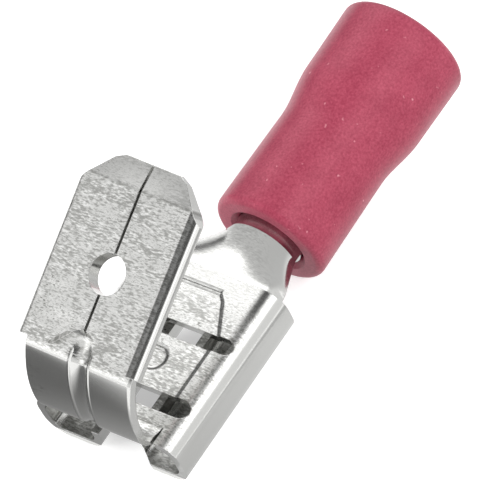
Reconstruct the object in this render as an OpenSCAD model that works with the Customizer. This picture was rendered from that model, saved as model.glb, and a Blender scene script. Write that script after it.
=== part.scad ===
// Piggyback female spade terminal: a slot for a 6.3 mm tab, a male tab folded back over it,
// a barrel to be crimped on the wire, and a soft sleeve over the barrel. Sizes in millimetres.
// X runs from the slot's mouth to the wire end, Y runs across, Z points up to the male tab.
// The origin is the middle of the slot's mouth, where the mating tab enters.

/* [Sheet and tab system] */
// Thickness of the stamped sheet, half the thickness of a tab
sheet = 0.4; // [0.36:0.01:0.42]
// Width of the tabs of this system, the male tab and the one that the slot takes
tab_w = 6.3; // [6.1:0.1:6.5]
// Play of the mating tab between the tongue and the lips
slot_play = 0.05; // [0.02:0.01:0.1]
// Play of the mating tab on each side
side_play = 0.35; // [0.25:0.05:0.45]

/* [Slot and rolls] */
// Length of the rolls, from the mouth to the neck
recept_len = 8.4; // [8.2:0.1:9]
// Height from the roof's top to the underside of the rolls
recept_h = 2.65; // [2.55:0.05:2.8]
// Outer radius of the rolls at the roof and at the underside
roll_r = 1.05; // [0.95:0.05:1.1]
// Outer radius of the lips that curl back up
lip_r = 1; // [0.9:0.05:1.05]
// Gap between the two lips
lip_gap = 1.5; // [1.3:0.1:1.8]
// Corner cut off the front of one lip, measured across
lip_cut_w = 0.95; // [0.6:0.05:1]
// Corner cut off the front of one lip, measured along
lip_cut_len = 0.8; // [0.5:0.05:1]

/* [Tongue in the roof] */
// Middle of the front cross slot
front_slot_x = 1.9; // [1.85:0.05:2]
// Width of the front cross slot
front_slot_w = 0.9; // [0.7:0.05:1]
// Middle of the rear cross slot
rear_slot_x = 5.27; // [5:0.01:5.4]
// Width of the rear cross slot
rear_slot_w = 0.76; // [0.6:0.02:0.8]
// Length of both cross slots, over their round ends
slot_span = 6.8; // [6.4:0.1:6.8]
// Width of the pressed-down tongue
tongue_w = 4.9; // [4.4:0.1:5]
// Depth that the tongue is pressed down
tongue_drop = 0.1; // [0.05:0.01:0.15]
// End of the pressed-down field behind the rear slot
field_end = 7.58; // [7.3:0.01:7.7]
// Width of that field at its end
field_end_w = 2.4; // [2:0.1:3]
// Size of the two slanted corners at that end
field_corner = 0.38; // [0.2:0.02:0.5]
// Length of the dimple, across the tongue
dimple_len = 1.6; // [1.4:0.1:2.4]
// Width of the dimple, along the tongue
dimple_w = 1.15; // [1:0.05:1.3]
// Depth of the dimple
dimple_drop = 0.15; // [0.1:0.01:0.2]
// Distance of the dimple behind the tongue's middle
dimple_shift = 0.15; // [0:0.05:0.3]

/* [Riser] */
// Width of the strip that rises from the roof to the male tab
riser_w = 5.54; // [5:0.02:5.6]
// Where the roof starts to curve up into the riser
foot_x = 0.8; // [0.6:0.05:0.9]
// Outer radius of the curve at the foot
foot_r = 1.3; // [1.1:0.05:1.4]
// Outer radius of the long curve up the front
riser_r = 5.8; // [5.4:0.1:6.5]
// Angle of that curve
riser_turn = 31; // [26:1:34]
// Outer radius of the bend under the male tab's front edge
brow_r = 0.75; // [0.65:0.05:1]
// Width of the stiffening groove pressed into the front
rib_w = 1; // [0.8:0.1:1.2]
// Depth of the groove
rib_drop = 0.15; // [0.1:0.01:0.2]

/* [Male tab] */
// Angle at which the male tab rises to the rear
tab_rise = 25.2; // [20:0.1:28]
// Small twist of the male tab about the length of the part
tab_twist = 3.8; // [0:0.1:4]
// Length of the male tab, from the brow to its tip
tab_len = 8.5; // [8:0.1:9]
// Length up to the shoulders, where the tip's slanted sides start
shoulder_s = 6.8; // [6.4:0.1:7]
// Width of the tip
tip_w = 3.3; // [3:0.1:3.6]
// Thickness of the tip's thin edge
tip_t = 0.3; // [0.3:0.05:0.5]
// Length of the thinned tip
tip_bevel = 1.2; // [1:0.1:1.5]
// Radius of the tip's rounded corners
tip_round = 0.25; // [0.15:0.05:0.3]
// Diameter of the latching hole
hole_d = 1.8; // [1.6:0.1:2]
// Distance of the latching hole from the brow
hole_s = 3.6; // [3.3:0.1:3.9]
// Gap of the seam where the two flaps meet
seam_gap = 0.12; // [0.08:0.01:0.2]
// Width of the notch that the flaps leave over the groove
notch_w = 3.2; // [2.8:0.1:3.6]
// Depth of that notch
notch_len = 0.87; // [0.7:0.01:1]

/* [Neck and barrel] */
// Outer diameter of the barrel
barrel_d = 3.2; // [3:0.1:3.4]
// Depth of the barrel's axis below the middle of the slot
barrel_drop = 1.42; // [1.3:0.02:1.5]
// Length of the neck between the rolls and the barrel
neck_len = 3.4; // [3.2:0.1:3.8]
// Part of the neck over which the sheet curls
neck_curl = 0.82; // [0.7:0.01:0.95]
// Angle of the neck's edges from the top, where it meets the barrel
neck_wrap = 105; // [95:1:115]
// How far the neck takes in the round of the rolls, in degrees
neck_hem = 62; // [50:1:70]
// Length of the barrel
barrel_len = 6; // [5.5:0.1:6.5]
// Width of the seam under the barrel
barrel_seam = 0.1; // [0.05:0.01:0.2]

/* [Sleeve] */
// Distance from the rolls to the sleeve's front end
sleeve_gap = 3.3; // [3.2:0.1:3.6]
// Length of the sleeve
sleeve_len = 11.25; // [10.5:0.05:12]
// Outer diameter at the front end
sleeve_front_d = 5.44; // [5.2:0.02:5.6]
// Outer diameter at the waist, before the step
sleeve_waist_d = 5.28; // [5.1:0.02:5.4]
// Outer diameter at the rear end
sleeve_rear_d = 6; // [5.7:0.02:6.2]
// Start of the step, from the sleeve's front end
step_start = 5.2; // [4.8:0.1:5.6]
// Length of the step
step_len = 2.5; // [2:0.1:3]
// Inner diameter of the bell mouth
mouth_d = 4.2; // [3.8:0.1:4.4]
// How much the radius still grows from the step to the rear end
rear_flare = 0.05; // [0:0.01:0.1]
// Length of the throat behind the barrel
throat_len = 0.5; // [0.3:0.1:1]
// Distance from the step's end to the straight part of the bell mouth
bell_start = 0.6; // [0.4:0.1:1]
// Radius of the bell mouth's round edge
mouth_round = 0.2; // [0.1:0.05:0.25]
// Chamfer inside the front end
lead_in = 0.25; // [0.1:0.05:0.3]
// Play between the barrel and the sleeve, on the radius
sleeve_play = 0.04; // [0.02:0.01:0.08]
// Radius of the round outer edges
edge_r = 0.35; // [0.2:0.05:0.4]

/* [Hidden] */
$fn = 64;

tab_t = 2 * sheet;
slot_gap = tab_t + slot_play;
roof_under = slot_gap / 2;
tongue_top = roof_under + sheet;
roof_top = tongue_top + tongue_drop;
roll_top_z = roof_top - roll_r;
roll_bottom = roof_top - recept_h;
roll_bottom_z = roll_bottom + roll_r;
wall_y = tab_w / 2 + side_play + sheet;
roll_y = wall_y - roll_r;
lip_y = lip_gap / 2 + lip_r;
roll_mid_r = roll_r - sheet / 2;

foot_c = [foot_x, roof_top - sheet + foot_r];
riser_c = foot_c + [riser_r - foot_r, 0];
brow_c = riser_c + (riser_r - brow_r) * [-cos(riser_turn), sin(riser_turn)];
brow_turn = 90 - riser_turn - tab_rise;
brow_end = brow_c + brow_r * [-sin(tab_rise), cos(tab_rise)];
rib_end = notch_len - 0.3 * sheet;
rib_r = (rib_w * rib_w / 4 + rib_drop * rib_drop) / (2 * rib_drop);
tip_dip = 0.2 * sheet;
notch_step = sheet / 8;
notch_floor = 0.8 * rib_w;
// Length and inset of the thin roots with which a swept sheet runs on inside its neighbour
root_len = 0.25;
root_inset = 0.05;
// How far a cut runs past the face that it opens
over = 1;

neck_x = recept_len;
barrel_x = neck_x + neck_len;
barrel_z = -barrel_drop;
barrel_mid_r = barrel_d / 2 - sheet / 2;
sleeve_x = recept_len + sleeve_gap;
barrel_end = barrel_x + barrel_len;

// A soft step from 0 to 1
function ease(t) = t < 0 ? 0 : t > 1 ? 1 : t * t * (3 - 2 * t);

// A section in the Y-Z plane, drawn with Y to the right and Z up, run along X
module along_x(x0, len)
    translate([x0, 0, 0])
        rotate([90, 0, 90])
            linear_extrude(len) children();

// A quarter ring of sheet with outer radius r, on the side of its centre that way points to
module quarter(centre, r, way)
    translate(centre)
        intersection() {
            difference() {
                circle(r);
                circle(r - sheet);
            }
            translate([min(0, way[0]) * r, min(0, way[1]) * r]) square(r);
        }

// The section of one roll, from the roof over the side to the tip of the lip
module roll_section() {
    quarter([roll_y, roll_top_z], roll_r, [1, 1]);
    translate([wall_y - sheet, roll_bottom_z]) square([sheet, roll_top_z - roll_bottom_z]);
    quarter([roll_y, roll_bottom_z], roll_r, [1, -1]);
    translate([lip_y, roll_bottom]) square([roll_y - lip_y, sheet]);
    quarter([lip_y, roll_bottom + lip_r], lip_r, [-1, -1]);
    translate([lip_gap / 2, roll_bottom + lip_r])
        square([sheet, -slot_gap / 2 - roll_bottom - lip_r]);
}

// A cross slot with round ends, in plan
module slot_plan(x, w, span)
    for (end = [0, 1]) mirror([0, end]) {
        translate([x, span / 2 - w / 2]) circle(d = w);
        translate([x - w / 2, 0]) square([w, span / 2 - w / 2]);
    }

module slots_plan() {
    slot_plan(front_slot_x, front_slot_w, slot_span);
    slot_plan(rear_slot_x, rear_slot_w, slot_span);
}

// The fields of the roof that are pressed down: the tongue between the slots, and the
// tapered field behind the rear slot
module tongue_plan() {
    translate([front_slot_x, -tongue_w / 2]) square([rear_slot_x - front_slot_x, tongue_w]);
    polygon([
        [rear_slot_x, -slot_span / 2 + rear_slot_w],
        [field_end - field_corner, -field_end_w / 2 - field_corner],
        [field_end, -field_end_w / 2],
        [field_end, field_end_w / 2],
        [field_end - field_corner, field_end_w / 2 + field_corner],
        [rear_slot_x, slot_span / 2 - rear_slot_w]
    ]);
}

module dimple_plan()
    slot_plan((front_slot_x + rear_slot_x) / 2 + dimple_shift, dimple_w, dimple_len);

// The flat roof over the slot, with its tongue, dimple and cross slots
module roof() {
    translate([0, 0, roof_top - sheet])
        linear_extrude(sheet)
            difference() {
                translate([foot_x, -roll_y]) square([recept_len - foot_x, 2 * roll_y]);
                tongue_plan();
                slots_plan();
            }
    translate([0, 0, roof_under])
        linear_extrude(sheet)
            difference() {
                tongue_plan();
                slots_plan();
                dimple_plan();
            }
    translate([0, 0, roof_under - dimple_drop])
        linear_extrude(sheet) dimple_plan();
}

// Both rolls, cut by the cross slots, with one corner off the front of the right lip
module rolls()
    difference() {
        for (side = [0, 1]) mirror([0, side, 0]) along_x(0, recept_len) roll_section();
        linear_extrude(recept_h) slots_plan();
        translate([0, 0, roll_bottom - sheet])
            linear_extrude(recept_h / 2 + sheet)
                polygon([
                    [-over, -lip_gap / 2 - lip_cut_w],
                    [0, -lip_gap / 2 - lip_cut_w],
                    [lip_cut_len, -lip_gap / 2],
                    [lip_cut_len, 0],
                    [-over, 0]
                ]);
    }

// A sheet swept through rings of points. Each ring goes along one face and back along the
// other, with the same number of points on both.
module swept_sheet(rings) {
    m = len(rings[0]);
    last = len(rings) - 1;
    sides = [for (k = [0:last - 1], i = [0:m - 1])
        let (a = k * m + i, b = k * m + (i + 1) % m)
        each [[a, b, b + m], [a, b + m, a + m]]];
    caps = [for (k = [0, last], j = [0:m / 2 - 2])
        let (a = k * m + j, b = a + 1, d = k * m + m - 1 - j, c = d - 1)
        each k == 0 ? [[a, d, c], [a, c, b]] : [[a, b, c], [a, c, d]]];
    polyhedron(points = [for (r = rings) each r], faces = concat(sides, caps));
}

// Depth of the groove at y across the riser, an arc in section
function groove(y) = abs(y) < rib_w / 2 ? sqrt(rib_r * rib_r - y * y) - rib_r + rib_drop : 0;

// Places along the riser, each with the point on its outer face, the way into the sheet,
// the share of the groove's depth and how much thinner the sheet is there on each face.
// It thins a hair at both ends, and a thin root runs on inside the sheet that it joins.
groove_fade = 35;
foot_steps = 15;
front_steps = 12;
brow_steps = 10;
rib_steps = 8;
function bend_stop(centre, r, a, thinner) =
    [centre + r * [cos(a), sin(a)], -[cos(a), sin(a)], ease((270 - a) / groove_fade), thinner];
riser_stops = concat(
    [[foot_c + [root_len, -foot_r], [0, 1], 0, root_inset]],
    [for (i = [0:foot_steps])
        bend_stop(foot_c, foot_r, 270 - 90 * i / foot_steps, root_inset * max(0, 0.3 - i / 10))],
    [for (i = [1:front_steps])
        bend_stop(riser_c, riser_r, 180 - riser_turn * i / front_steps, 0)],
    [for (i = [1:brow_steps])
        let (t = i / brow_steps)
        bend_stop(brow_c, brow_r, 180 - riser_turn - brow_turn * t, 0.4 * root_inset * t)],
    [[
        brow_end + root_len * [cos(tab_rise), sin(tab_rise)],
        [sin(tab_rise), -cos(tab_rise)],
        1,
        root_inset
    ]]
);
riser_ys = concat(
    [-riser_w / 2],
    [for (i = [-rib_steps:rib_steps]) i / rib_steps * rib_w / 2],
    [riser_w / 2]
);

// The twist grows from none at the roof to the whole of it at the brow
function twisted(y, p) =
    let (
        a = tab_twist * ease((p[1] - roof_top + sheet) / (brow_end[1] - roof_top + sheet)),
        z = p[1] - roof_top
    )
    [p[0], y * cos(a) - z * sin(a), roof_top + y * sin(a) + z * cos(a)];
function riser_ring(stop) =
    let (
        outer = [for (y = riser_ys)
            twisted(y, stop[0] + (groove(y) * stop[2] + stop[3]) * stop[1])],
        inner = [for (y = riser_ys)
            twisted(y, stop[0] + (groove(y) * stop[2] + sheet - stop[3]) * stop[1])]
    )
    concat(outer, [for (i = [len(inner) - 1:-1:0]) inner[i]]);

// The strip that rises from the roof at the front, with the groove pressed into its middle
module riser() swept_sheet([for (stop = riser_stops) riser_ring(stop)]);

// Outline of the male tab, with its slanted tip corners
module tab_plan() {
    half = tab_w / 2;
    slant = (half - tip_w / 2) / (tab_len - shoulder_s);
    polygon([
        [0, -half],
        [shoulder_s, -half],
        [tab_len - tip_round, -tip_w / 2 - slant * tip_round],
        [tab_len, -tip_w / 2 + tip_round],
        [tab_len, -seam_gap],
        [tab_len - tip_dip, 0],
        [tab_len, seam_gap],
        [tab_len, tip_w / 2 - tip_round],
        [tab_len - tip_round, tip_w / 2 + slant * tip_round],
        [shoulder_s, half],
        [0, half]
    ]);
}

// The two layers of the male tab with their folded round sides
module tab_bar() {
    translate([0, -tab_w / 2 + sheet, -sheet]) cube([tab_len, tab_w - tab_t, tab_t]);
    for (side = [-1, 1])
        translate([0, side * (tab_w / 2 - sheet), 0])
            rotate([0, 90, 0]) cylinder(h = tab_len, r = sheet);
}

// A wedge that thins the tip on the upper face
module tip_wedge()
    translate([tab_len - tip_bevel, -tab_w, sheet])
        rotate([0, atan2(sheet - tip_t / 2, tip_bevel), 0])
            cube([2 * tip_bevel, 2 * tab_w, sheet]);

// A round bar with a ball end that lies along the groove's end on the male tab
module rib_bar(r)
    translate([rib_end - rib_w / 2, 0, rib_r - rib_drop]) {
        sphere(r);
        rotate([0, -90, 0]) cylinder(h = rib_end, r = r);
    }

// The male tab lying flat: X runs to its tip, and z = 0 is where its two layers meet
module flat_tab()
    difference() {
        union() {
            intersection() {
                tab_bar();
                translate([0, 0, -sheet]) linear_extrude(tab_t) tab_plan();
            }
            intersection() {
                rib_bar(rib_r + sheet);
                translate([0, -rib_w, -tab_t]) cube([2 * rib_w, 2 * rib_w, tab_t - sheet / 2]);
            }
        }
        linear_extrude(tab_t)
            polygon([
                [0, -notch_w / 2],
                [notch_len - notch_step, -notch_floor],
                [notch_len, -seam_gap / 2],
                [tab_len + over, -seam_gap / 2],
                [tab_len + over, seam_gap / 2],
                [notch_len, seam_gap / 2],
                [notch_len - notch_step, notch_floor],
                [0, notch_w / 2],
                [-over, notch_w / 2],
                [-over, -notch_w / 2]
            ]);
        intersection() {
            rib_bar(rib_r);
            translate([-over, -rib_w, -rib_drop]) cube([3 * over, 2 * rib_w, rib_drop + sheet]);
        }
        translate([hole_s, 0, -tab_t]) cylinder(h = 2 * tab_t, d = hole_d);
        for (face = [0, 1]) mirror([0, 0, face]) tip_wedge();
    }

// The male tab on the riser's upper end
module male_tab()
    translate([0, 0, roof_top])
        rotate([tab_twist, 0, 0])
            translate([brow_end[0], 0, brow_end[1] - roof_top])
                rotate([0, -tab_rise, 0]) flat_tab();

// Middle of the sheet at the rolls: flat over the roof, then round over the roll.
// u runs from -1 to 1 across the sheet, and the result is [y, z].
hem_len = roll_y + roll_mid_r * neck_hem * PI / 180;
function roof_line(u) =
    let (s = abs(u) * hem_len, a = max(0, s - roll_y) / roll_mid_r * 180 / PI)
    [sign(u) * (min(s, roll_y) + roll_mid_r * sin(a)), roll_top_z + roll_mid_r * cos(a)];

// Middle of the sheet at the barrel: a round open underneath
function barrel_line(u) =
    [barrel_mid_r * sin(u * neck_wrap), barrel_z + barrel_mid_r * cos(u * neck_wrap)];

// Middle of the sheet at t along the neck, 0 at the rolls and 1 at the barrel
function neck_line(t, u) =
    let (e = ease(t / neck_curl))
    (1 - e) * roof_line(u) + e * barrel_line(u);
function neck_normal(t, u) =
    let (du = 0.01, d = neck_line(t, u + du) - neck_line(t, u - du))
    [-d[1], d[0]] / norm(d);

// The neck: a sheet that curls from the flat roof into the round barrel. It thins a hair at
// both ends, and they run on, thinner, inside the sheet that they join.
neck_cuts = 18;
neck_steps = 40;
function neck_half(t) =
    sheet / 2 - root_inset * (t < 0 ? 1 : 0.4 - 0.4 * ease(6 * t) + 0.6 * ease(3 * t - 2));
function neck_ring(t) =
    let (
        x = neck_x + t * neck_len,
        h = neck_half(t),
        us = [for (j = [0:neck_steps]) 2 * j / neck_steps - 1],
        outer = [for (u = us) neck_line(t, u) + h * neck_normal(t, u)],
        inner = [for (j = [neck_steps:-1:0]) neck_line(t, us[j]) - h * neck_normal(t, us[j])]
    )
    [for (p = concat(outer, inner)) [x, p[0], p[1]]];
module neck()
    swept_sheet([for (i = [-1:neck_cuts + 1]) neck_ring(i / neck_cuts)]);

// The barrel, rolled from the sheet, with its seam underneath
module barrel()
    translate([barrel_x, 0, barrel_z])
        difference() {
            rotate([0, 90, 0]) cylinder(h = barrel_len, d = barrel_d);
            translate([-over, 0, 0])
                rotate([0, 90, 0]) cylinder(h = barrel_len + 2 * over, d = barrel_d - 2 * sheet);
            translate([-over, -barrel_seam / 2, -barrel_d])
                cube([barrel_len + 2 * over, barrel_seam, barrel_d]);
        }

// One stamping of tinned brass
module terminal() {
    color([0.78, 0.78, 0.76]) {
        roof();
        rolls();
        riser();
        male_tab();
        neck();
        barrel();
    }
}

// Points of a quarter round of radius r about c, from angle a
function round_edge(c, r, a) = [for (i = [0:6]) c + r * [cos(a + 15 * i), sin(a + 15 * i)]];

// The soft sleeve: gripped by the barrel in front, a throat at the barrel's end, and a bell
// mouth for the wire's insulation behind. The profile is [radius, distance from the front].
module insulation_sleeve() {
    bore_r = barrel_d / 2 + sleeve_play;
    throat_r = barrel_d / 2 - sheet;
    throat_x = barrel_end - sleeve_x;
    mouth_x = step_start + step_len + bell_start;
    front_r = sleeve_front_d / 2;
    waist_r = sleeve_waist_d / 2;
    rear_r = sleeve_rear_d / 2;
    mouth_r = mouth_d / 2;
    swell_r = rear_r - rear_flare;
    step = [for (i = [0:10])
        [waist_r + (swell_r - waist_r) * ease(i / 10), step_start + step_len * i / 10]];
    color([0.70, 0.33, 0.40])
        translate([sleeve_x, 0, barrel_z])
            rotate([0, 90, 0])
                rotate_extrude()
                    polygon(concat(
                        [[bore_r, throat_x], [bore_r, lead_in], [bore_r + lead_in, 0]],
                        round_edge([front_r - edge_r, edge_r], edge_r, -90),
                        step,
                        round_edge([rear_r - edge_r, sleeve_len - edge_r], edge_r, 0),
                        round_edge([mouth_r + mouth_round, sleeve_len - mouth_round], mouth_round, 90),
                        [[mouth_r, mouth_x], [throat_r, throat_x + throat_len], [throat_r, throat_x]]
                    ));
}

terminal();
insulation_sleeve();
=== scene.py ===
import bpy
import bmesh
import math
from functools import partial
from mathutils import Matrix, Vector


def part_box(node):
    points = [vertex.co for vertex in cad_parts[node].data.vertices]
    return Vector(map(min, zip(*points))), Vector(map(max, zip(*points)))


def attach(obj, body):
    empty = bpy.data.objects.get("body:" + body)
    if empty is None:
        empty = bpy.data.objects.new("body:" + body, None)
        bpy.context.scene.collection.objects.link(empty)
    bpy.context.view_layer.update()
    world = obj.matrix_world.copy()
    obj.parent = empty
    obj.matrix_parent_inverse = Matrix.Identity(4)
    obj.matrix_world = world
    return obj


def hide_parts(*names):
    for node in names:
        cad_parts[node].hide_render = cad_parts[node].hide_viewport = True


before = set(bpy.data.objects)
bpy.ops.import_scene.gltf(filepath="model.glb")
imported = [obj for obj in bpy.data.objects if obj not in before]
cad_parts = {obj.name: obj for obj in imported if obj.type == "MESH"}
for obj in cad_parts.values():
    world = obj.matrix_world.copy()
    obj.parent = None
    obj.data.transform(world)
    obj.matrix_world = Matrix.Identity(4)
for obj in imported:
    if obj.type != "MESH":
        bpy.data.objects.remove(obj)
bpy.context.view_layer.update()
print("frame loaded")

white = (1, 1, 1, 1)
black = (0, 0, 0, 1)


def newObject(name, data):
    obj = bpy.data.objects.new(name, data)
    bpy.context.scene.collection.objects.link(obj)
    return obj


def meshFrom(bm, name):
    mesh = bpy.data.meshes.new(name)
    bm.to_mesh(mesh)
    bm.free()
    return newObject(name, mesh)


def newMaterial(name):
    mat = bpy.data.materials.new(name)
    mat.use_nodes = True
    nodes, links = mat.node_tree.nodes, mat.node_tree.links
    nodes.clear()
    out = nodes.new("ShaderNodeOutputMaterial")
    shader = nodes.new("ShaderNodeBsdfPrincipled")
    links.new(shader.outputs["BSDF"], out.inputs["Surface"])
    return mat, nodes, links, shader


def give(links, socket, value):
    if isinstance(value, bpy.types.NodeSocket):
        links.new(value, socket)
    else:
        socket.default_value = value


def mathNode(nodes, links, operation, *values):
    node = nodes.new("ShaderNodeMath")
    node.operation = operation
    for socket, value in zip(node.inputs, values):
        give(links, socket, value)
    return node.outputs[0]


def vectorNode(nodes, links, operation, *values):
    node = nodes.new("ShaderNodeVectorMath")
    node.operation = operation
    for socket, value in zip(node.inputs, values):
        give(links, socket, value)
    return node.outputs


def rangeNode(nodes, links, value, low, high, toLow=0.0, toHigh=1.0):
    node = nodes.new("ShaderNodeMapRange")
    for name, given in zip(("Value", "From Min", "From Max", "To Min", "To Max"),
                           (value, low, high, toLow, toHigh)):
        give(links, node.inputs[name], given)
    return node.outputs["Result"]


def stepNode(nodes, links, value, start, end, low=0.0, high=1.0):
    result = rangeNode(nodes, links, value, start, end, low, high)
    result.node.interpolation_type = "SMOOTHSTEP"
    return result


def noiseNode(nodes, links, vector, scale, detail, roughness):
    node = nodes.new("ShaderNodeTexNoise")
    for name, given in zip(("Vector", "Scale", "Detail", "Roughness"), (vector, scale, detail, roughness)):
        give(links, node.inputs[name], given)
    return node.outputs["Fac"]


# Places of the colours among the sockets of a Mix node
colourSocket = {
    "first": 6,
    "second": 7,
    "result": 2,
}


def mixColour(nodes, links, factor, first, second):
    node = nodes.new("ShaderNodeMix")
    node.data_type = "RGBA"
    give(links, node.inputs["Factor"], factor)
    give(links, node.inputs[colourSocket["first"]], first)
    give(links, node.inputs[colourSocket["second"]], second)
    return node.outputs[colourSocket["result"]]


def bumpNode(nodes, links, height, strength, distance, normal=None):
    node = nodes.new("ShaderNodeBump")
    for name, given in (("Height", height), ("Strength", strength), ("Distance", distance)):
        give(links, node.inputs[name], given)
    if normal:
        links.new(normal, node.inputs["Normal"])
    return node.outputs["Normal"]


def splitNode(nodes, links, vector):
    node = nodes.new("ShaderNodeSeparateXYZ")
    links.new(vector, node.inputs[0])
    return node.outputs


# Lengths in metres, angles in degrees; the other values are parts of the neck's length
stampingSize = {
    "neckStart": 0.0084,
    "neckEnd": 0.0118,
    "neckCurl": 0.82,
    "neckEven": 0.5,
    "weldStart": 0.66,
    "weldEnd": 1.001,
    "barrelZ": -0.00142,
    "barrelRadius": 0.0016,
    "weld": 0.00003,
    "crease": 28,
}
sleeveSize = {
    "crease": 40,
    "mouthRound": 0.00035,
}
mergeSize = {
    "double": 2e-6,
    "sliver": 1e-6,
    "flatWeight": 80,
}


def ease(t):
    t = min(1.0, max(0.0, t))
    return t * t * (3 - 2 * t)


# The neck narrows more evenly than its solid does, and over its last third it closes on the
# barrel without a step
def mendNeck(bm, size):
    length = size["neckEnd"] - size["neckStart"]
    even = size["neckEven"]
    for vert in bm.verts:
        t = (vert.co.x - size["neckStart"]) / length
        if not 0 < t < size["weldEnd"]:
            continue
        spoke = Vector((0, vert.co.y, vert.co.z - size["barrelZ"]))
        gap = size["barrelRadius"] - spoke.length
        if abs(gap) < 2 * size["weld"] and t > size["weldStart"]:
            vert.co += spoke.normalized() * min(gap, size["weld"]) * ease(3 * t - 2)
        if t < 1:
            vert.co.x = size["neckStart"] + length * ((1 - even) * t + even * ease(t / size["neckCurl"]))


# The solids' loose triangles are merged in a copy, so that round sheet shades as round
def smoothCopy(node, name, size, mend=None):
    bm = bmesh.new()
    bm.from_mesh(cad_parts[node].data)
    if mend:
        mend(bm, size)
    bmesh.ops.remove_doubles(bm, verts=bm.verts, dist=mergeSize["double"])
    bmesh.ops.dissolve_degenerate(bm, edges=bm.edges, dist=mergeSize["sliver"])
    crease = math.radians(size["crease"])
    for face in bm.faces:
        face.smooth = True
    for edge in bm.edges:
        edge.smooth = len(edge.link_faces) == 2 and edge.calc_face_angle() < crease
    obj = meshFrom(bm, name)
    obj.data.materials.clear()
    weighted = obj.modifiers.new("flats", "WEIGHTED_NORMAL")
    weighted.keep_sharp = True
    weighted.weight = mergeSize["flatWeight"]
    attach(obj, "root")
    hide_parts(node)
    return obj


stamping = smoothCopy("terminal", "stamping", stampingSize, mendNeck)
sleeve = smoothCopy("insulation_sleeve", "sleeve", sleeveSize)
print("pieces made")

# Grain of rolled and tumbled sheet: short lines over broad clouds
grainLook = {
    "fineDetail": 4.0,
    "fineRough": 0.65,
    "fineShare": 0.75,
    "broadScale": 0.11,
    "broadDetail": 2.0,
    "broadRough": 0.5,
    "patches": (0.48, 0.62),
    "dots": (0.52, 0.66),
}


def grainGroup(look):
    group = bpy.data.node_groups.new("sheetGrain", "ShaderNodeTree")
    for name, way, kind in (("Vector", "INPUT", "NodeSocketVector"), ("Scale", "INPUT", "NodeSocketFloat"),
                            ("Height", "OUTPUT", "NodeSocketFloat"), ("Specks", "OUTPUT", "NodeSocketFloat")):
        group.interface.new_socket(name, in_out=way, socket_type=kind)
    nodes, links = group.nodes, group.links
    calc = partial(mathNode, nodes, links)
    given = nodes.new("NodeGroupInput")
    result = nodes.new("NodeGroupOutput")
    vector, scale = given.outputs["Vector"], given.outputs["Scale"]
    fine = noiseNode(nodes, links, vector, scale, look["fineDetail"], look["fineRough"])
    broadScale = calc("MULTIPLY", scale, look["broadScale"])
    broad = noiseNode(nodes, links, vector, broadScale, look["broadDetail"], look["broadRough"])
    clouds = calc("MULTIPLY", broad, 1 - look["fineShare"])
    links.new(calc("MULTIPLY_ADD", fine, look["fineShare"], clouds), result.inputs["Height"])
    patches = rangeNode(nodes, links, broad, *look["patches"])
    dots = rangeNode(nodes, links, fine, *look["dots"])
    links.new(calc("MULTIPLY", patches, dots), result.inputs["Specks"])
    return group


grain = grainGroup(grainLook)


def grainNode(nodes, links, stretch, scale):
    place = nodes.new("ShaderNodeTexCoord")
    mapping = nodes.new("ShaderNodeMapping")
    mapping.inputs["Scale"].default_value = stretch
    links.new(place.outputs["Object"], mapping.inputs["Vector"])
    node = nodes.new("ShaderNodeGroup")
    node.node_tree = grain
    node.inputs["Scale"].default_value = scale
    links.new(mapping.outputs["Vector"], node.inputs["Vector"])
    return place, node


tinLook = {
    "dark": (0.36, 0.36, 0.345, 1),
    "light": (0.86, 0.86, 0.845, 1),
    "smooth": (0.62, 0.62, 0.605, 1),
    "speck": (0.20, 0.20, 0.185, 1),
    "toneRange": (0.43, 0.58),
    "roughSmooth": 0.17,
    "roughWorn": 0.30,
    "scale": 13000.0,
    "stretch": (1.0, 0.28, 1.0),
    "bump": 0.7,
    "grainDepth": 0.00001,
    "edgeRadius": 0.00005,
    "edgeSamples": 8,
    "upward": (0.60, 0.93),
    "rearWear": 0.35,
    "bevelWear": -0.6,
    "stripWear": 0.6,
    "bevelShadeStrength": 0.5,
}

# Forms of the stamping that its finish follows, in metres. A pair is where a mask starts and
# where it is full; tabAcross and tabAlong are directions of the male tab
formSize = {
    "tabAcross": (0.0, 0.9978, 0.0663),
    "tabAlong": (0.90483, -0.02822, 0.42484),
    "tabMiddle": 0.000061,
    "tabHeight": (0.0022, 0.0026),
    "tabStrip": (0.0016, 0.0024),
    "shoulder": (-0.00258, -0.00292),
    "shoulderDrop": -0.00012,
    "bevelStart": 0.01006,
    "paintedBevelShade": 0.0001,
    "ribHalf": 0.0005,
    "ribFront": (0.0010, 0.0007),
    "rimWidth": 0.00009,
    "rimRise": 0.00004,
    "roofHeight": (0.0011, 0.0010),
    "roofRear": (0.0079, 0.0062),
    "pressedDrop": -0.00014,
    "tongueStart": 0.0019,
    "fieldStart": 0.00527,
    "fieldTurn": 0.0072,
    "fieldEnd": 0.00758,
    "tongueHalf": 0.00245,
    "fieldHalf": (0.00264, 0.00158, 0.0012),
    "dimple": (0.003735, 0.000225, 0.000575),
    "soft": 0.00016,
}


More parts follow.
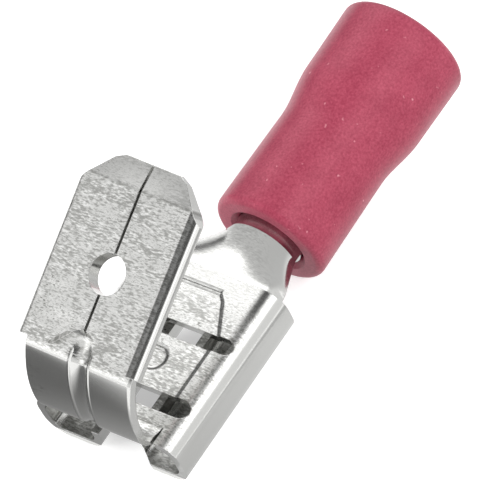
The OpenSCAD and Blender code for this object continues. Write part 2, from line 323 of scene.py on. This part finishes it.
# How far the roof is pressed down at x and y: 1 in the tongue and the field, 2 in the dimple
def pressedDepth(nodes, links, x, y, size):
    calc = partial(mathNode, nodes, links)
    soft = size["soft"]
    wide, narrow, end = size["fieldHalf"]
    aside = calc("ABSOLUTE", y)
    taper = rangeNode(nodes, links, x, size["fieldStart"], size["fieldTurn"], wide, narrow)
    corner = rangeNode(nodes, links, x, size["fieldTurn"], size["fieldEnd"], 0.0, narrow - end)
    behind = calc("GREATER_THAN", x, size["fieldStart"])
    fieldPart = calc("MULTIPLY", behind, calc("SUBTRACT", taper, corner))
    tonguePart = calc("MULTIPLY", calc("SUBTRACT", 1.0, behind), size["tongueHalf"])
    ends = calc("MAXIMUM", calc("SUBTRACT", size["tongueStart"], x), calc("SUBTRACT", x, size["fieldEnd"]))
    outside = calc("MAXIMUM", calc("SUBTRACT", aside, calc("ADD", fieldPart, tonguePart)), ends)
    middleX, flat, radius = size["dimple"]
    alongX = calc("SUBTRACT", x, middleX)
    alongY = calc("MAXIMUM", calc("SUBTRACT", aside, flat), 0.0)
    away = calc("SQRT", calc("ADD", calc("MULTIPLY", alongX, alongX), calc("MULTIPLY", alongY, alongY)))
    return calc("ADD", stepNode(nodes, links, outside, soft, -soft),
                stepNode(nodes, links, away, radius + soft, radius - soft))


def tinMaterial(look, size):
    mat, nodes, links, shader = newMaterial("tinnedBrass")
    calc = partial(mathNode, nodes, links)
    step = partial(stepNode, nodes, links)
    bump = partial(bumpNode, nodes, links)
    shader.inputs["Metallic"].default_value = 1.0
    place, texture = grainNode(nodes, links, look["stretch"], look["scale"])
    height, specks = texture.outputs["Height"], texture.outputs["Specks"]
    point = place.outputs["Object"]
    x, y, z = splitNode(nodes, links, point)
    upward = splitNode(nodes, links, place.outputs["Normal"])["Z"]
    across = calc("SUBTRACT", vectorNode(nodes, links, "DOT_PRODUCT", point, size["tabAcross"])["Value"],
                  size["tabMiddle"])
    along = vectorNode(nodes, links, "DOT_PRODUCT", point, size["tabAlong"])["Value"]
    inTab = step(z, *size["tabHeight"])
    inRoof = step(z, *size["roofHeight"])
    # Faces that look up are worn by tumbling, bent and hidden ones keep the smooth tin
    reached = calc("MAXIMUM", step(x, *size["roofRear"], look["rearWear"], 1.0), inTab)
    exposed = calc("MULTIPLY", step(upward, *look["upward"]), reached)
    inBevel = calc("MULTIPLY", inTab, step(along, size["bevelStart"], size["bevelStart"] + size["soft"]))
    worn = calc("MULTIPLY", exposed, calc("MULTIPLY_ADD", inBevel, look["bevelWear"], 1.0))
    inStrip = calc("MULTIPLY", step(across, *size["tabStrip"]), inTab)
    speckled = calc("MULTIPLY", specks, calc("MULTIPLY_ADD", inStrip, look["stripWear"], worn))
    # Painted shade: a dark line in the tin's colour along the fold where the tab's bevel starts
    fromBevel = calc("ABSOLUTE", calc("SUBTRACT", along, size["bevelStart"]))
    paintedBevelShade = calc("MULTIPLY", step(fromBevel, size["paintedBevelShade"], 0.0, 0.0, look["bevelShadeStrength"]), inTab)
    tone = rangeNode(nodes, links, height, *look["toneRange"])
    mottled = mixColour(nodes, links, tone, look["dark"], look["light"])
    base = mixColour(nodes, links, worn, look["smooth"], mottled)
    marks = calc("MAXIMUM", paintedBevelShade, speckled)
    links.new(mixColour(nodes, links, marks, base, look["speck"]), shader.inputs["Base Color"])
    links.new(rangeNode(nodes, links, worn, 0.0, 1.0, look["roughSmooth"], look["roughWorn"]),
              shader.inputs["Roughness"])
    edge = nodes.new("ShaderNodeBevel")
    edge.samples = look["edgeSamples"]
    edge.inputs["Radius"].default_value = look["edgeRadius"]
    # Soft edges of the pressed roof, the rims of the rib and the tab's rounded right side
    pressed = calc("MULTIPLY", pressedDepth(nodes, links, x, y, size), inRoof)
    normal = bump(pressed, 1.0, size["pressedDrop"], edge.outputs["Normal"])
    fromRim = calc("ABSOLUTE", calc("SUBTRACT", calc("ABSOLUTE", across), size["ribHalf"]))
    rim = calc("MULTIPLY", step(fromRim, size["rimWidth"], 0.0), step(x, *size["ribFront"]))
    normal = bump(rim, 1.0, size["rimRise"], normal)
    shoulder = calc("MULTIPLY", step(across, *size["shoulder"]), inTab)
    normal = bump(shoulder, 1.0, size["shoulderDrop"], normal)
    normal = bump(height, calc("MULTIPLY", worn, look["bump"]), look["grainDepth"], normal)
    links.new(normal, shader.inputs["Normal"])
    return mat


stamping.data.materials.append(tinMaterial(tinLook, formSize))

pvcLook = {
    "deep": (0.34, 0.030, 0.070, 1),
    "light": (0.50, 0.075, 0.130, 1),
    "dust": (0.70, 0.25, 0.31, 1),
    "toneRange": (0.36, 0.64),
    "dustScale": 5200.0,
    "dustDetail": 0.0,
    "dustRough": 0.5,
    "dustRange": (0.81, 0.90),
    "rough": 0.37,
    "shine": 0.4,
    "stretch": (1.0, 1.0, 1.0),
    "scale": 9000.0,
    "bump": 0.3,
    "grainDepth": 0.00003,
}


def pvcMaterial(look):
    mat, nodes, links, shader = newMaterial("softPvc")
    place, texture = grainNode(nodes, links, look["stretch"], look["scale"])
    height = texture.outputs["Height"]
    tone = rangeNode(nodes, links, height, *look["toneRange"])
    base = mixColour(nodes, links, tone, look["deep"], look["light"])
    motes = noiseNode(nodes, links, place.outputs["Object"], look["dustScale"], look["dustDetail"],
                      look["dustRough"])
    dust = rangeNode(nodes, links, motes, *look["dustRange"])
    links.new(mixColour(nodes, links, dust, base, look["dust"]), shader.inputs["Base Color"])
    shader.inputs["Roughness"].default_value = look["rough"]
    shader.inputs["Specular IOR Level"].default_value = look["shine"]
    links.new(bumpNode(nodes, links, height, look["bump"], look["grainDepth"]), shader.inputs["Normal"])
    return mat


sleeve.data.materials.append(pvcMaterial(pvcLook))
print("finishes made")

# The part lies on the rolls' front ends and the sleeve's front edge
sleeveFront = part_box("insulation_sleeve")[0].x
rest = {
    "frontX": 0.0,
    "frontZ": -0.001725,
    "backX": sleeveFront + sleeveSize["mouthRound"],
    "backZ": -0.00414,
}
floorAngle = math.atan2(rest["frontZ"] - rest["backZ"], rest["backX"] - rest["frontX"])
floorTurn = Matrix.Rotation(floorAngle, 4, "Y")
floorPlace = Matrix.Translation((rest["frontX"], 0, rest["frontZ"])) @ floorTurn
floorLook = {
    "size": 2.0,
    "tone": 0.82,
    "glow": 0.62,
    "rough": 0.9,
    "shine": 0.1,
}
# Painted shade: the floor between the rolls gets little light, so its colour and glow are darkened there; it
# shows through the cross slots
paintedShadeLook = {
    "middle": (0.0045, 0.0010, 0),
    "squeeze": (1, 1.6, 0),
    "reach": (0.0025, 0.0050),
    "tone": 0.58,
}
worldLook = {
    "light": 0.55,
    "seen": 1.0,
}


# White to the camera, and to metal and glass that mirror it, over a plain pale floor
def whiteBackground(nodes, links):
    ray = nodes.new("ShaderNodeLightPath")
    seen = mathNode(nodes, links, "MAXIMUM", ray.outputs["Is Camera Ray"], ray.outputs["Is Glossy Ray"])
    return mathNode(nodes, links, "MAXIMUM", seen, ray.outputs["Is Transmission Ray"])


def plate(name, width, depth, place):
    bm = bmesh.new()
    bm.loops.layers.uv.new("UVMap")
    bmesh.ops.create_grid(bm, x_segments=1, y_segments=1, size=0.5, calc_uvs=True)
    bmesh.ops.scale(bm, verts=bm.verts, vec=(width, depth, 1))
    bmesh.ops.transform(bm, verts=bm.verts, matrix=place)
    obj = meshFrom(bm, name)
    return obj


def paintedUnderShade(nodes, links, look):
    point = nodes.new("ShaderNodeTexCoord").outputs["Object"]
    offset = vectorNode(nodes, links, "SUBTRACT", point, look["middle"])["Vector"]
    squeezed = vectorNode(nodes, links, "MULTIPLY", offset, look["squeeze"])["Vector"]
    distance = vectorNode(nodes, links, "LENGTH", squeezed)["Value"]
    return stepNode(nodes, links, distance, *look["reach"], look["tone"], 1.0)


def makeFloor(look, shade):
    floor = plate("floor", look["size"], look["size"], floorPlace)
    mat, nodes, links, shader = newMaterial("paleFloor")
    calc = partial(mathNode, nodes, links)
    # Painted shade: a soft darker spot in the floor's colour and glow under the part, between the rolls
    light = paintedUnderShade(nodes, links, shade)
    glow = calc("MULTIPLY", whiteBackground(nodes, links), look["glow"])
    links.new(calc("MULTIPLY", light, look["tone"]), shader.inputs["Base Color"])
    links.new(calc("MULTIPLY", glow, light), shader.inputs["Emission Strength"])
    shader.inputs["Emission Color"].default_value = white
    shader.inputs["Roughness"].default_value = look["rough"]
    shader.inputs["Specular IOR Level"].default_value = look["shine"]
    floor.data.materials.append(mat)


def makeWorld(look):
    world = bpy.data.worlds.new("studio")
    bpy.context.scene.world = world
    world.use_nodes = True
    nodes, links = world.node_tree.nodes, world.node_tree.links
    background = nodes["Background"]
    background.inputs["Color"].default_value = white
    links.new(rangeNode(nodes, links, whiteBackground(nodes, links), 0, 1, look["light"], look["seen"]),
              background.inputs["Strength"])


makeFloor(floorLook, paintedShadeLook)
makeWorld(worldLook)

partMiddle = Vector((0.009, 0, 0))


# A frame that looks back at the part from a distance along a direction
def facing(direction, distance):
    way = Vector(direction).normalized()
    turn = way.to_track_quat("Z", "Y").to_matrix().to_4x4()
    return Matrix.Translation(partMiddle + way * distance) @ turn


def softbox(name, direction, distance, size, power):
    light = bpy.data.lights.new(name, "AREA")
    light.shape = "RECTANGLE"
    light.size, light.size_y = size
    light.energy = power
    obj = newObject(name, light)
    obj.matrix_world = facing(direction, distance)
    obj.visible_glossy = False


softbox("leftBox", direction=(-0.66, 0.56, 0.50), distance=0.5, size=(0.30, 0.16), power=1.2)
softbox("rightBox", direction=(0.20, -0.80, 0.56), distance=0.5, size=(0.42, 0.16), power=1.3)


# Cards that only gloss sees: they give the tin its dark and bright bands. Their tone fades
# into the white round them, over the outer "soft" part of the way to the edge
def card(name, tone, size, place, soft=0.5, oneSided=False):
    obj = plate(name, *size, place)
    mat, nodes, links, shader = newMaterial(name + "Tone")
    calc = partial(mathNode, nodes, links)
    shader.inputs["Base Color"].default_value = black
    shader.inputs["Specular IOR Level"].default_value = 0
    shader.inputs["Emission Color"].default_value = white
    across = splitNode(nodes, links, nodes.new("ShaderNodeTexCoord").outputs["UV"])
    inside = [calc("ABSOLUTE", calc("SUBTRACT", across[axis], 0.5)) for axis in "XY"]
    reach = calc("MAXIMUM", *inside)
    fade = stepNode(nodes, links, reach, 0.5 - 0.5 * soft, 0.5, tone, 1.0)
    links.new(fade, shader.inputs["Emission Strength"])
    if oneSided:
        behind = nodes.new("ShaderNodeNewGeometry").outputs["Backfacing"]
        links.new(calc("SUBTRACT", 1.0, behind), shader.inputs["Alpha"])
    obj.data.materials.append(mat)
    obj.visible_camera = False
    obj.visible_diffuse = False
    obj.visible_transmission = False
    obj.visible_shadow = False


overheadX = 0.005
floorLift = 0.0003


# Flat over the part: reachX and reachY are where it starts and ends, for a height of one
def overheadCard(name, tone, reachX, reachY, height=0.25, soft=0.5):
    middle = Vector((overheadX + height * sum(reachX) / 2, height * sum(reachY) / 2, height))
    size = (height * (reachX[1] - reachX[0]), height * (reachY[1] - reachY[0]))
    card(name, tone, size, Matrix.Translation(middle), soft)


# Just over the floor, along its slope, turned round its first corner
def floorCard(name, tone, corner, size, degrees, soft=0.5):
    start = Matrix.Translation((*corner, floorLift))
    turn = Matrix.Rotation(math.radians(degrees), 4, "Z")
    middle = Matrix.Translation((size[0] / 2, 0, 0))
    card(name, tone, size, floorPlace @ start @ turn @ middle, soft)


overheadCard("roofCard", tone=0.08, reachX=(-0.15, 0.75), reachY=(-0.50, 0.36))
overheadCard("tabCard", tone=0.06, reachX=(-1.05, -0.08), reachY=(-1.5, 0.10), height=0.26, soft=0.3)
overheadCard("tipCard", tone=0.62, reachX=(-0.20, 0.26), reachY=(0.30, 0.90), height=0.27)
overheadCard("crestCard", tone=2.2, reachX=(0.0, 0.95), reachY=(-1.7, -0.38), height=0.24, soft=0.4)
card("neckCard", tone=2.6, size=(0.22, 0.18), place=facing((0.64, 0.42, 0.62), 0.24), soft=0.6)
card("tabSideCard", tone=2.2, size=(0.14, 0.10), place=facing((-0.20, -0.93, 0.30), 0.25))
card("browCard", tone=2.0, size=(0.16, 0.17), place=facing((-0.68, 0.56, 0.46), 0.25), soft=0.8)
card("backCard", tone=0.05, size=(0.70, 0.10), place=facing((0.05, 0.95, 0.22), 0.25), soft=0.3)
floorCard("riserCard", tone=0.19, corner=(0.012, -0.008), size=(0.067, 0.022), degrees=140, soft=0.7)
floorCard("sideCard", tone=0.62, corner=(-0.002, -0.016), size=(0.034, 0.026), degrees=0, soft=0.4)
# Two small cards close to the sleeve keep its red out of the tip and the neck
overSleeve = Matrix.Translation((0.0175, -0.0005, 0.0030))
card("sleeveCard", tone=0.8, size=(0.011, 0.007), place=overSleeve, soft=0.2, oneSided=True)
beforeSleeve = Matrix.Translation((0.0113, -0.0008, 0.0002))
upright = Matrix.Rotation(math.pi / 2, 4, "Y") @ Matrix.Rotation(math.pi / 2, 4, "Z")
card("faceCard", tone=0.70, size=(0.0050, 0.0030), place=beforeSleeve @ upright, soft=0.3)

cameraLook = {
    "lens": 422.4,
    "sensor": 36,
    "nearest": 0.01,
    "farthest": 10,
    "place": (-0.074519, -0.133666, 0.181033),
    "right": (0.5366, -0.7792, -0.3238),
    "up": (0.7662, 0.2891, 0.574),
    "back": (-0.3536, -0.5561, 0.7521),
}


def makeCamera(look):
    camera = bpy.data.cameras.new("camera")
    camera.lens = look["lens"]
    camera.sensor_width = look["sensor"]
    camera.clip_start = look["nearest"]
    camera.clip_end = look["farthest"]
    turn = Matrix((look["right"], look["up"], look["back"])).transposed()
    obj = newObject("camera", camera)
    obj.matrix_world = Matrix.Translation(look["place"]) @ turn.to_4x4()
    bpy.context.scene.camera = obj


makeCamera(cameraLook)
bpy.context.scene.view_settings.view_transform = "Standard"
print("stage made")
